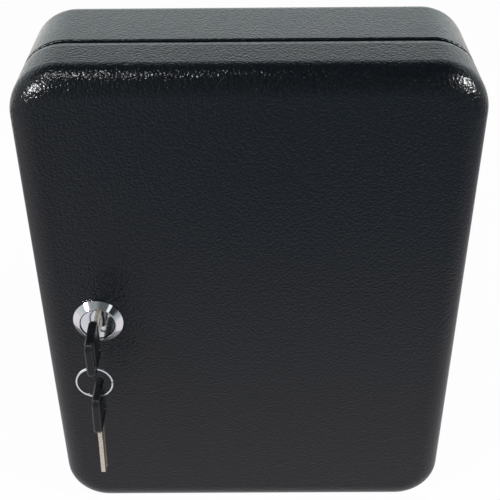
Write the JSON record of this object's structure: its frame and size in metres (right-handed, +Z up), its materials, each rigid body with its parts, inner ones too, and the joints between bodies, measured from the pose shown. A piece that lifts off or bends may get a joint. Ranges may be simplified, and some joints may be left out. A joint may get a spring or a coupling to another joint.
{
  "type": "lockable key box",
  "caption": "Wall-mounted lockable steel key box with rounded corners, a hinged door on the right, a cam lock with its key on a split ring, and numbered hook rails inside",
  "frame": {"origin": "centre of the rectangle of wall fixing holes, on the outer back face", "axes": "+X to the right seen from the front, +Y back into the wall, +Z up"},
  "size_m": [0.2028, 0.1163, 0.25],
  "materials": {
    "black_textured_coat": "fine textured powder coat",
    "black_inner_coat": "smooth satin powder coat",
    "white_coat": "light grey satin coat",
    "label_paper": "matte printed film",
    "brass": "plain",
    "chrome": "polished",
    "key_plastic": "fine moulded grain",
    "nickel_silver": "plain milled",
    "ring_steel": "plated",
    "zinc_steel": "zinc plated"
  },
  "bodies": {
    "cabinet": {"body_shell": "black_textured_coat", "hinge_body_leaf": "black_inner_coat", "hinge_pin": "zinc_steel", "hook_rail_1": "white_coat", "hook_rail_2": "white_coat", "hook_rail_3": "white_coat", "hook_rail_4": "white_coat", "inner_collar": "black_inner_coat", "label_strip_1": "label_paper", "label_strip_2": "label_paper", "label_strip_3": "label_paper", "label_strip_4": "label_paper", "rail_rivet_1_left": "zinc_steel", "rail_rivet_1_right": "zinc_steel", "rail_rivet_2_left": "zinc_steel", "rail_rivet_2_right": "zinc_steel", "rail_rivet_3_left": "zinc_steel", "rail_rivet_3_right": "zinc_steel", "rail_rivet_4_left": "zinc_steel", "rail_rivet_4_right": "zinc_steel", "strike_bracket": "black_inner_coat"},
    "door": {"door_shell": "black_textured_coat", "hinge_door_leaf": "black_inner_coat", "lock_housing": "chrome", "lock_washer": "zinc_steel", "lock_nut": "zinc_steel"},
    "lock_core": {"lock_plug": "chrome", "cam": "zinc_steel", "cam_washer": "zinc_steel", "cam_screw": "zinc_steel", "wafer_1": "brass", "wafer_2": "brass", "wafer_3": "brass", "wafer_4": "brass", "wafer_5": "brass"},
    "key_1": {"key_1_blade": "nickel_silver", "key_1_bow": "key_plastic"},
    "split_ring": {"key_ring": "ring_steel"},
    "key_2": {"key_2_blade": "nickel_silver", "key_2_bow": "key_plastic"}
  },
  "joints": [
    {"name": "door_swing", "type": "hinge", "parent": "cabinet", "child": "door", "pos_m": [0.1003, -0.047, 0], "axis": [0, 0, 1], "range_deg": [0, 170]},
    {"name": "lock_turn", "type": "hinge", "parent": "door", "child": "lock_core", "pos_m": [-0.072, -0.08, 0.0011], "axis": [0, 1, 0], "range_deg": [0, 90]},
    {"name": "key_pull", "type": "slide", "parent": "lock_core", "child": "key_1", "axis": [0, -1, 0], "range_m": [0, 0.026]},
    {"name": "ring_hang", "type": "hinge", "parent": "key_1", "child": "split_ring", "pos_m": [-0.07255, -0.1068, -0.00785], "axis": [0, 1, 0], "range_deg": [-90, 0]},
    {"name": "key_2_swing", "type": "hinge", "parent": "split_ring", "child": "key_2", "pos_m": [-0.07114, -0.1068, -0.02241], "axis": [1, 0, 0], "range_deg": [-80, 28]}
  ],
  "couplings": [
    {"joint": "ring_hang", "follows": "lock_turn", "ratio": -1}
  ]
}
